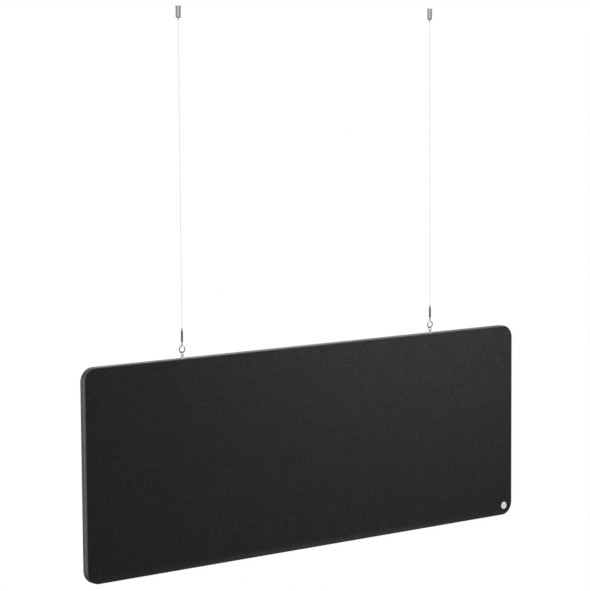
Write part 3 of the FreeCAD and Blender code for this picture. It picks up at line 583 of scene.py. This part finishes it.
class Growth(Nodes):
    """A Geometry Nodes tree with named sizes, run once on a line and turned into a plain mesh."""

    def __init__(self, name, sizes):
        super().__init__(bpy.data.node_groups.new(name, "GeometryNodeTree"))
        for way in ("INPUT", "OUTPUT"):
            self.tree.interface.new_socket("Geometry", in_out=way, socket_type="NodeSocketGeometry")
        self.values = {}
        for size, value in sizes.items():
            kind = "NodeSocketInt" if isinstance(value, int) else "NodeSocketFloat"
            socket = self.tree.interface.new_socket(size, in_out="INPUT", socket_type=kind)
            self.values[socket.identifier] = value
        self.entry = self.tree.nodes.new("NodeGroupInput")

    def given(self, name):
        """The line that the tree runs on, or one of its sizes."""
        return Signal(self, self.entry.outputs[name])

    def spaced_line(self, step):
        """The line that the tree runs on, with a point at every step."""
        return self.node("GeometryNodeResampleCurve", {"Curve": self.given("Geometry"), "Length": step},
                         mode="LENGTH")

    def circle(self, corners, radius):
        return self.node("GeometryNodeCurvePrimitiveCircle", {"Resolution": corners, "Radius": radius})

    def tube(self, line, profile):
        """A closed tube along a line."""
        inputs = {"Curve": line, "Profile Curve": profile, "Fill Caps": True}
        return self.node("GeometryNodeCurveToMesh", inputs)

    def finish(self, geometry):
        """Realize what was instanced and give it out."""
        real = self.node("GeometryNodeRealizeInstances", {0: geometry})
        leave = self.tree.nodes.new("NodeGroupOutput")
        self.connect(real, leave.inputs[0])

    def grow(self, name, curve):
        """Run the tree on a curve's line and return the mesh that it makes."""
        carrier = bpy.data.objects.new(name + "_line", curve)
        bpy.context.collection.objects.link(carrier)
        modifier = carrier.modifiers.new(name, "NODES")
        modifier.node_group = self.tree
        for identifier, value in self.values.items():
            modifier[identifier] = value
        graph = bpy.context.evaluated_depsgraph_get()
        mesh = bpy.data.meshes.new_from_object(carrier.evaluated_get(graph))
        mesh.name = name
        carrier.modifiers.remove(modifier)
        bpy.data.objects.remove(carrier)
        if not mesh.polygons:
            raise RuntimeError(f"{name} came out empty")
        shade_smooth(mesh)
        return mesh


def line_curve(name, points, kind="POLY", closed=False):
    """A curve with the given points and no bevel."""
    curve = bpy.data.curves.new(name, "CURVE")
    curve.dimensions = "3D"
    spline = curve.splines.new(kind)
    spline.points.add(len(points) - 1)
    for item, point in zip(spline.points, points):
        item.co = (*point, 1.0)
    spline.use_cyclic_u = closed
    return curve


# Half a stitch along and across the seam, the height of its ends and the depth of its middle
STITCH_ALONG = 0.7 * MM
STITCH_ACROSS = 1.25 * MM
STITCH_RISE = 0.55 * MM
STITCH_DIP = 0.62 * MM
# Points along a stitch and corners round its thread
STITCH_POINTS = 5
THREAD_CORNERS = 6
# How far the stitches lie below the edge of the covers
SEAM_SUNK = 0.1 * MM
# Height above a wire's end where its line is held straight by the terminal
WIRE_HELD = 7 * MM
# Corners of a wire's profile for each strand
STRAND_CORNERS = 4
# Radius of a spring's wire, points in a turn of it and corners round it
SPRING_WIRE = 0.28 * MM
SPRING_POINTS = 28
SPRING_CORNERS = 10


def seam_stitches():
    """Slanted stitches all round the seam between the covers."""
    cover = settings("covers")
    growth = Growth("seam_stitches", {"Step": cover.stitch_step, "Thread radius": cover.thread_radius})
    spaced = growth.spaced_line(growth.given("Step"))
    loop = growth.node("GeometryNodeCurveQuadraticBezier", {
        "Resolution": STITCH_POINTS, "Start": (-STITCH_ALONG, -STITCH_ACROSS, STITCH_RISE),
        "Middle": (0.0, 0.0, -STITCH_DIP), "End": (STITCH_ALONG, STITCH_ACROSS, STITCH_RISE)})
    stitch = growth.tube(loop, growth.circle(THREAD_CORNERS, growth.given("Thread radius")))
    ahead = growth.node("GeometryNodeInputTangent")
    turned = growth.node("FunctionNodeAlignRotationToVector", {"Vector": ahead}, axis="X", pivot_axis="Y")
    placed = growth.node("GeometryNodeInstanceOnPoints", {
        "Points": spaced, "Instance": stitch, "Rotation": turned})
    growth.finish(placed)
    centre, (half_long, _, half_tall) = centred_box("front_cover")
    points = outline(half_long - SEAM_SUNK, half_tall - SEAM_SUNK, cover.corner_radius - SEAM_SUNK,
                     SEAM_POINTS)
    seam = [(centre.x + x, 0.0, centre.z + z) for x, z, _, _ in points]
    return growth.grow("seam_stitches", line_curve("seam_line", seam, closed=True))


def wire_route(name, foot, head):
    """The taut wire's own line: its two ends, and a point just above the terminal that holds it."""
    curve = line_curve(name, (foot, foot + Vector((0.0, 0.0, WIRE_HELD)), head), "NURBS")
    curve.splines[0].order_u = 3
    curve.splines[0].use_endpoint_u = True
    return curve


def route_points(curve):
    """Points along a route, as the curve itself gives them."""
    carrier = bpy.data.objects.new(curve.name + "_route", curve)
    bpy.context.collection.objects.link(carrier)
    graph = bpy.context.evaluated_depsgraph_get()
    mesh = bpy.data.meshes.new_from_object(carrier.evaluated_get(graph))
    points = [tuple(vert.co) for vert in mesh.vertices]
    bpy.data.objects.remove(carrier)
    bpy.data.meshes.remove(mesh)
    return points


def laid_wire(name, curve, radius):
    """Strands laid round a core, as one fluted tube that turns along the wire."""
    wire = settings("wires")
    growth = Growth(name, {"Radius": radius, "Groove": wire.groove, "Strands": wire.strands,
                           "Lay length": wire.lay_length, "Ring step": wire.ring_step})
    spaced = growth.spaced_line(growth.given("Ring step"))
    along = growth.node("GeometryNodeSplineParameter", output="Length")
    turns = along / growth.given("Lay length")
    twisted = growth.node("GeometryNodeSetCurveTilt", {"Curve": spaced, "Tilt": turns * (2 * math.pi)})
    ring = growth.circle(growth.given("Strands") * STRAND_CORNERS, growth.given("Radius"))
    phase = growth.node("GeometryNodeInputIndex") * (math.pi / STRAND_CORNERS)
    dip = 1.0 - abs(growth.math("SINE", phase))
    shrink = 1.0 - dip * growth.given("Groove")
    fluted_place = growth.node("ShaderNodeVectorMath", {
        0: growth.node("GeometryNodeInputPosition"), "Scale": shrink}, operation="SCALE")
    fluted = growth.node("GeometryNodeSetPosition", {"Geometry": ring, "Position": fluted_place})
    growth.finish(growth.tube(twisted, fluted))
    return growth.grow(name, curve)


def coil_mesh(name, foot, head, radius, turns):
    """A compression spring that stands upright between two points."""
    growth = Growth(name, {"Height": head.z - foot.z - 2 * SPRING_WIRE, "Radius": radius - SPRING_WIRE,
                           "Wire radius": SPRING_WIRE, "Turns": turns})
    spiral = growth.node("GeometryNodeCurveSpiral", {
        "Resolution": SPRING_POINTS, "Rotations": growth.given("Turns"), "Height": growth.given("Height"),
        "Start Radius": growth.given("Radius"), "End Radius": growth.given("Radius")})
    coil = growth.tube(spiral, growth.circle(SPRING_CORNERS, growth.given("Wire radius")))
    raised = growth.node("GeometryNodeTransform", {
        "Geometry": coil, "Translation": (foot.x, foot.y, foot.z + SPRING_WIRE)})
    growth.finish(raised)
    return growth.grow(name, line_curve(name + "_axis", (foot, head)))


# Metals and filling

def turned_metal(name, colour, roughness, lines=2600.0, wear=0.12):
    """Metal turned on a lathe about a vertical axis: fine rings, soft blotches and handling marks."""
    finish = Finish(name)
    place = finish.place()
    _, _, height = finish.parts(place)
    rings = finish.noise(finish.join(0.0, 0.0, height), lines)
    blotch = finish.noise(place, 180.0, detail=3.0)
    mark = finish.smooth(finish.noise(place, 900.0, detail=3.0, roughness=0.7), 0.62, 0.75)
    shade = blotch * 0.6 + rings * 0.4
    return finish.set(Base_Color=finish.mix(shade, scaled(colour, 1 - wear), scaled(colour, 1 + wear)),
                      Metallic=1.0, Roughness=roughness + (blotch - 0.5) * 0.12 + mark * 0.1,
                      Normal=finish.bump(rings, strength=0.12, distance=0.05 * MM))


def drawn_metal(name, colour, roughness, scale=700.0, wear=0.15):
    """Drawn and plated wire: soft blotches and small dull specks."""
    finish = Finish(name)
    place = finish.place()
    blotch = finish.noise(place, scale * 0.4, detail=3.0)
    speck = finish.smooth(finish.noise(place, scale * 4.0), 0.6, 0.72)
    return finish.set(Base_Color=finish.mix(blotch, scaled(colour, 1 - wear), scaled(colour, 1 + wear)),
                      Metallic=1.0, Roughness=roughness + blotch * 0.1 + speck * 0.12,
                      Normal=finish.bump(blotch * 0.7 + speck * 0.3, strength=0.1, distance=0.05 * MM))


def badge_finish():
    """Satin disc brushed in circles about its own centre, with a brighter rim."""
    metal = settings("fittings").badge
    centre, (radius, _, _) = centred_box("badge")
    finish = Finish("badge_metal")
    place = finish.place()
    x, _, z = finish.parts(place)
    from_centre = finish.math("SQRT", (x - centre.x) ** 2.0 + (z - centre.z) ** 2.0)
    rings = finish.noise(finish.join(from_centre, 0.0, 0.0), 5200.0)
    rim = finish.smooth(from_centre, radius * 0.66, radius * 0.88)
    soft = finish.noise(place, 240.0, roughness=0.5)
    face = finish.mix(rings * 0.6 + soft * 0.4, scaled(metal, 0.6), scaled(metal, 0.78))
    return finish.set(Base_Color=finish.mix(rim, face, metal), Metallic=1.0,
                      Roughness=0.42 - rim * 0.14 + (rings - 0.5) * 0.1,
                      Normal=finish.bump(rings, strength=0.15, distance=0.04 * MM))


def fibre_finish(name, colour, scale):
    """Matted fibres of wadding and wool."""
    finish = Finish(name)
    place = finish.place()
    strand = finish.noise(finish.stretched(place, (1.0, 3.0, 0.35)), scale, detail=4.0, roughness=0.7)
    clump = finish.noise(place, scale * 0.08, detail=3.0)
    shade = strand * 0.6 + clump * 0.4
    return finish.set(Base_Color=finish.mix(shade, scaled(colour, 0.7), scaled(colour, 1.2)),
                      Roughness=0.9 + clump * 0.08,
                      Normal=finish.bump(strand, strength=0.8, distance=0.6 * MM))


def timber_finish(name, along):
    """Planed softwood with its grain along X or Z."""
    filling = settings("filling")
    finish = Finish(name)
    drawn_out = 0.06
    stretch = (drawn_out, 1.0, 1.0) if along == "X" else (1.0, 1.0, drawn_out)
    grain_place = finish.stretched(finish.place(), stretch)
    wander = finish.noise(grain_place, 30.0, detail=3.0)
    x, y, z = finish.parts(grain_place)
    # Rings across the board's width, slanting through its thickness and wandering
    ring_angle = (z if along == "X" else x) * 520.0 + y * 160.0 + wander * 9.0
    rings = abs(finish.math("SINE", ring_angle)) ** 3.0
    pores = finish.noise(grain_place, 1500.0)
    colour = finish.mix(rings * 0.7 + pores * 0.25, filling.timber_light, filling.timber_dark)
    return finish.set(Base_Color=colour, Roughness=0.62 + pores * 0.15,
                      Normal=finish.bump(rings * 0.4 + pores * 0.6, strength=0.2, distance=0.2 * MM))


def slab_mesh(name, node, radius, edge, count, swell):
    """A soft slab in the panel's plane with round corners, softened rims and slightly uneven sides."""
    centre, (half_long, half, half_tall) = centred_box(node)
    points = outline(half_long, half_tall, radius, count)
    soft = edge * 0.3
    rings = ((edge, -half), (soft, soft - half), (0.0, edge - half),
             (0.0, half - edge), (soft, half - soft), (edge, half))
    waves_along, waves_through = 40.0, 300.0
    mesh = bmesh.new()
    rows = []
    for inset, height in rings:
        row = []
        for x, z, normal_x, normal_z in points:
            wave = swell * noise.noise((x * waves_along, height * waves_through, z * waves_along))
            inwards = inset + abs(wave)
            row.append(mesh.verts.new((centre.x + x - normal_x * inwards, centre.y + height,
                                       centre.z + z - normal_z * inwards)))
        rows.append(row)
    join_rings(mesh, rows)
    mesh.faces.new(rows[0])
    mesh.faces.new(rows[-1])
    return plain_mesh(name, mesh)


# Operators, one for each piece or group of like pieces

FACES = ("front", "back")


class MakeCovers(bpy.types.Operator):
    """Sew the two cloth covers"""
    bl_idname = "acoustic_panel.make_covers"
    bl_label = "Make covers"

    def execute(self, context):
        cloth = cloth_finish()
        for face in FACES:
            name, node = f"cloth_cover_{face}", f"{face}_cover"
            piece = add_piece(name, cover_mesh(name, face), cloth, "panel", "black_cloth", node)
            wall = piece.modifiers.new("cloth_thickness", "SOLIDIFY")
            wall.thickness = settings("covers").cloth_thickness
            wall.offset = -1.0
            _, (half_long, half_deep, half_tall) = centred_box(node)
            flap = 2 * half_deep + HEM_FLAP
            flat = (2 * (half_long + flap), 2 * (half_tall + flap))
        return {"FINISHED"}


class SewSeam(bpy.types.Operator):
    """Sew the seam between the covers"""
    bl_idname = "acoustic_panel.sew_seam"
    bl_label = "Sew seam"

    def execute(self, context):
        add_piece("seam_stitches", seam_stitches(), thread_finish(), "panel", "black_cloth")
        return {"FINISHED"}


class FillPanel(bpy.types.Operator):
    """Lay in the wadding, the absorbing core and the timber frame"""
    bl_idname = "acoustic_panel.fill_panel"
    bl_label = "Fill panel"

    def execute(self, context):
        filling = settings("filling")
        wadding = fibre_finish("wadding", filling.wadding_colour, scale=900.0)
        wool = fibre_finish("mineral_wool", filling.wool_colour, scale=600.0)
        corner = settings("covers").corner_radius
        for face in FACES:
            node = f"{face}_wadding"
            mesh = slab_mesh(f"wadding_{face}", node, radius=corner, edge=0.7 * MM, count=240,
                             swell=0.2 * MM)
            add_piece(mesh.name, mesh, wadding, "panel", "wadding", node)
        mesh = slab_mesh("wool_core", "acoustic_core", radius=3 * MM, edge=1.2 * MM, count=288,
                         swell=0.5 * MM)
        add_piece("wool_core", mesh, wool, "panel", "mineral_wool", "acoustic_core")
        paint(timber_finish("timber_rails", "X"), "top_rail", "bottom_rail", "frame_dowels")
        paint(timber_finish("timber_stiles", "Z"), "left_stile", "right_stile")
        return {"FINISHED"}


class FinishBadge(bpy.types.Operator):
    """Brush the plain round badge"""
    bl_idname = "acoustic_panel.finish_badge"
    bl_label = "Finish badge"

    def execute(self, context):
        paint(badge_finish(), "badge")
        return {"FINISHED"}


class HangWires(bpy.types.Operator):
    """Hang the laid steel wires"""
    bl_idname = "acoustic_panel.hang_wires"
    bl_label = "Hang wires"

    def execute(self, context):
        steel = drawn_metal("steel_wire", settings("wires").steel, roughness=0.34, scale=500.0)
        for side in SIDES:
            node = f"wire_{side}"
            foot, head, radius = upright(node)
            route = wire_route(f"route_{side}", foot, head)
            points = route_points(route)
            mesh = laid_wire(f"laid_wire_{side}", route, radius)
            piece = add_piece(mesh.name, mesh, steel, f"hanger_{side}", "steel_wire", node)
            paint(steel, f"wire_bend_{side}", f"wire_tail_{side}")
        return {"FINISHED"}


class FitGrips(bpy.types.Operator):
    """Finish the ceiling fittings and the wire grips inside them"""
    bl_idname = "acoustic_panel.fit_grips"
    bl_label = "Fit grips"

    def execute(self, context):
        metals, wire = settings("fittings"), settings("wires")
        spring_steel = drawn_metal("spring_steel", wire.spring_steel, roughness=0.3)
        nickel = turned_metal("satin_nickel", metals.nickel, roughness=0.28)
        nozzle = turned_metal("nozzle_nickel", metals.nozzle, roughness=0.26)
        brass = turned_metal("turned_brass", metals.brass, roughness=0.3)
        ball = drawn_metal("ball_steel", metals.ball, roughness=0.1)
        for side in SIDES:
            paint(nickel, f"ceiling_base_{side}", f"ceiling_barrel_{side}")
            paint(nozzle, f"release_nozzle_{side}")
            paint(brass, f"spring_plug_{side}", f"eye_insert_{side}")
            paint(ball, f"grip_balls_{side}")
            node = f"grip_spring_{side}"
            foot, head, radius = upright(node)
            mesh = coil_mesh(f"coil_spring_{side}", foot, head, radius, wire.spring_turns)
            piece = add_piece(mesh.name, mesh, spring_steel, "ceiling", "spring_steel", node)
            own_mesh(piece)
        return {"FINISHED"}


class FinishHooks(bpy.types.Operator):
    """Finish terminals, snap hooks, gates, eye bolts and washers"""
    bl_idname = "acoustic_panel.finish_hooks"
    bl_label = "Finish hooks"

    def execute(self, context):
        metals = settings("fittings")
        dark = turned_metal("terminal_steel", metals.terminal, roughness=0.38, lines=1800.0, wear=0.2)
        plated = drawn_metal("hook_steel", metals.hook, roughness=0.28)
        zinc = drawn_metal("bright_zinc", metals.zinc, roughness=0.22, scale=500.0, wear=0.1)
        washer = drawn_metal("washer_zinc", metals.washer, roughness=0.3, scale=500.0, wear=0.1)
        gate = drawn_metal("gate_steel", settings("wires").spring_steel, roughness=0.3)
        for side in SIDES:
            paint(dark, f"wire_terminal_{side}")
            paint(plated, f"hook_{side}")
            paint(gate, f"hook_gate_{side}")
            paint(zinc, f"eye_bolt_{side}")
            paint(washer, f"eye_washer_{side}")
        return {"FINISHED"}


# Stage

# Camera fitted to the photo: where it stands, and where the picture's right, foot and depth point
CAMERA_PLACE = (-4.2374, -5.2611, -0.1604)
CAMERA_RIGHT = Vector((0.78268098, -0.62238555, -0.00683584))
CAMERA_DOWN = Vector((-0.0672314, -0.07361829, -0.99501773))
CAMERA_AHEAD = Vector((0.61878141, 0.77924103, -0.09946348))
SENSOR_WIDTH = 36.0
VIEW_DEPTH = 60.0
# Point in the panel that most lamps are turned to
LAMP_AIM = (0.0, 0.0, -1.1)
# Each lamp's place, the point that it is turned to, its size, and whether metal mirrors it
LAMPS = {
    "left": ((-3.8, 0.7, -0.2), LAMP_AIM, (2.4, 1.6), False),
    "wide": ((-5.2, -6.5, 0.3), LAMP_AIM, (5.5, 4.5), True),
    "top": ((-0.35, 0.3, 0.3), (-0.35, 0.0, -1.0), (1.4, 0.55), False),
    "front": ((0.56, -1.28, -0.16), (0.75, 0.0, 0.16), (1.55, 1.55), False),
    "back": ((0.8, 4.6, 0.4), LAMP_AIM, (4.0, 4.0), True),
}
# Radius of the floor, and the distances between which mirrors show it turn from its own tone to white
FLOOR_RADIUS = 9.0
FLOOR_CORNERS = 96
FLOOR_OWN_TONE = 1.2
FLOOR_WHITE = 3.0


def seen_rays(nodes):
    """A signal that is 1 for rays from the camera, off a mirror or through glass."""
    camera, mirror, glass = (nodes.node("ShaderNodeLightPath", output=f"Is {kind} Ray")
                             for kind in ("Camera", "Glossy", "Transmission"))
    return nodes.math("MAXIMUM", nodes.math("MAXIMUM", camera, mirror), glass)


class SetStage(bpy.types.Operator):
    """Set the camera, lamps, floor and backdrop"""
    bl_idname = "acoustic_panel.set_stage"
    bl_label = "Set stage"

    def execute(self, context):
        stage = settings("stage")
        scene = context.scene
        scene.view_settings.view_transform = "Standard"
        self.camera(scene, stage)
        for name, (place, aim, size, mirrored) in LAMPS.items():
            self.lamp(f"{name}_softbox", place, aim, size, getattr(stage, f"{name}_power"), mirrored)
        self.backdrop(scene, stage)
        self.floor(scene, stage)
        return {"FINISHED"}

    @staticmethod
    def camera(scene, stage):
        camera = bpy.data.cameras.new("camera")
        camera.lens = stage.lens
        camera.sensor_width = SENSOR_WIDTH
        camera.clip_end = VIEW_DEPTH
        eye = bpy.data.objects.new("camera", camera)
        scene.collection.objects.link(eye)
        turn = Matrix((CAMERA_RIGHT, -CAMERA_DOWN, -CAMERA_AHEAD)).transposed()
        eye.matrix_world = Matrix.Translation(CAMERA_PLACE) @ turn.to_4x4()
        scene.camera = eye

    @staticmethod
    def lamp(name, place, aim, size, power, mirrored):
        """A soft lamp that the camera doesn't see, and that metal mirrors or doesn't."""
        lamp = bpy.data.lights.new(name, "AREA")
        lamp.shape = "RECTANGLE"
        lamp.size, lamp.size_y = size
        lamp.energy = power
        stand = bpy.data.objects.new(name, lamp)
        stand.location = place
        stand.visible_camera = False
        stand.visible_glossy = mirrored
        stand.rotation_euler = (Vector(aim) - Vector(place)).to_track_quat("-Z", "Y").to_euler()
        bpy.context.scene.collection.objects.link(stand)

    @staticmethod
    def backdrop(scene, stage):
        """White all round where it is seen, and a faint even fill as a light."""
        world = bpy.data.worlds.new("studio")
        scene.world = world
        world.use_nodes = True
        nodes = Nodes(world.node_tree)
        level = nodes.node("ShaderNodeMapRange", {"Value": seen_rays(nodes), "To Min": stage.world_level,
                                                  "To Max": 1.0})
        light = nodes.tree.nodes["Background"]
        nodes.connect((1.0, 1.0, 1.0), light.inputs["Color"])
        nodes.connect(level, light.inputs["Strength"])

    @staticmethod
    def floor(scene, stage):
        """A floor that throws light back up. The camera looks through it, so views from below stay clear."""
        mesh = bmesh.new()
        bmesh.ops.create_circle(mesh, cap_ends=True, segments=FLOOR_CORNERS, radius=FLOOR_RADIUS,
                                matrix=Matrix.Translation((0.0, 0.0, stage.floor_level)))
        made = bpy.data.meshes.new("floor")
        mesh.to_mesh(made)
        mesh.free()
        finish = Finish("floor")
        x, y, _ = finish.parts(finish.place())
        far = finish.smooth(finish.math("SQRT", x * x + y * y), FLOOR_OWN_TONE, FLOOR_WHITE)
        finish.set(Base_Color=stage.floor_colour, Roughness=0.9, Specular_IOR_Level=0.1)
        plain, glow = Signal(finish, finish.shader.outputs[0]), finish.node("ShaderNodeEmission")
        blend = finish.node("ShaderNodeMixShader", {0: seen_rays(finish) * far, 1: plain, 2: glow})
        leave = next(item for item in finish.tree.nodes if item.type == "OUTPUT_MATERIAL")
        finish.connect(blend, leave.inputs["Surface"])
        made.materials.append(finish.material)
        ground = bpy.data.objects.new("floor", made)
        ground.visible_camera = False
        scene.collection.objects.link(ground)


OPERATORS = (SetStage, HangWires, MakeCovers, SewSeam, FillPanel, FinishBadge, FitGrips, FinishHooks)
GROUPS = {"covers": CoverSettings, "filling": FillingSettings, "wires": WireSettings,
          "fittings": FittingSettings, "stage": StageSettings}


class DressPanel(bpy.types.Panel):
    """Steps that dress the hanging acoustic panel"""
    bl_idname = "VIEW3D_PT_acoustic_panel"
    bl_label = "Acoustic panel"
    bl_space_type = "VIEW_3D"
    bl_region_type = "UI"
    bl_category = "Acoustic panel"

    def draw(self, context):
        for step in OPERATORS:
            self.layout.operator(step.bl_idname)
        for name, group in GROUPS.items():
            box = self.layout.box()
            box.label(text=group.__doc__)
            for prop in group.__annotations__:
                box.prop(settings(name), prop)


def register():
    for made in (*GROUPS.values(), *OPERATORS, DressPanel):
        bpy.utils.register_class(made)
    for name, group in GROUPS.items():
        setattr(bpy.types.Scene, "acoustic_" + name, PointerProperty(type=group))


def unregister():
    for name in GROUPS:
        delattr(bpy.types.Scene, "acoustic_" + name)
    for made in (DressPanel, *reversed(OPERATORS), *reversed(GROUPS.values())):
        bpy.utils.unregister_class(made)


def main():
    """Run every step in order."""
    register()
    for step in OPERATORS:
        group, name = step.bl_idname.split(".")
        getattr(getattr(bpy.ops, group), name)()


if __name__ == "__main__":
    main()
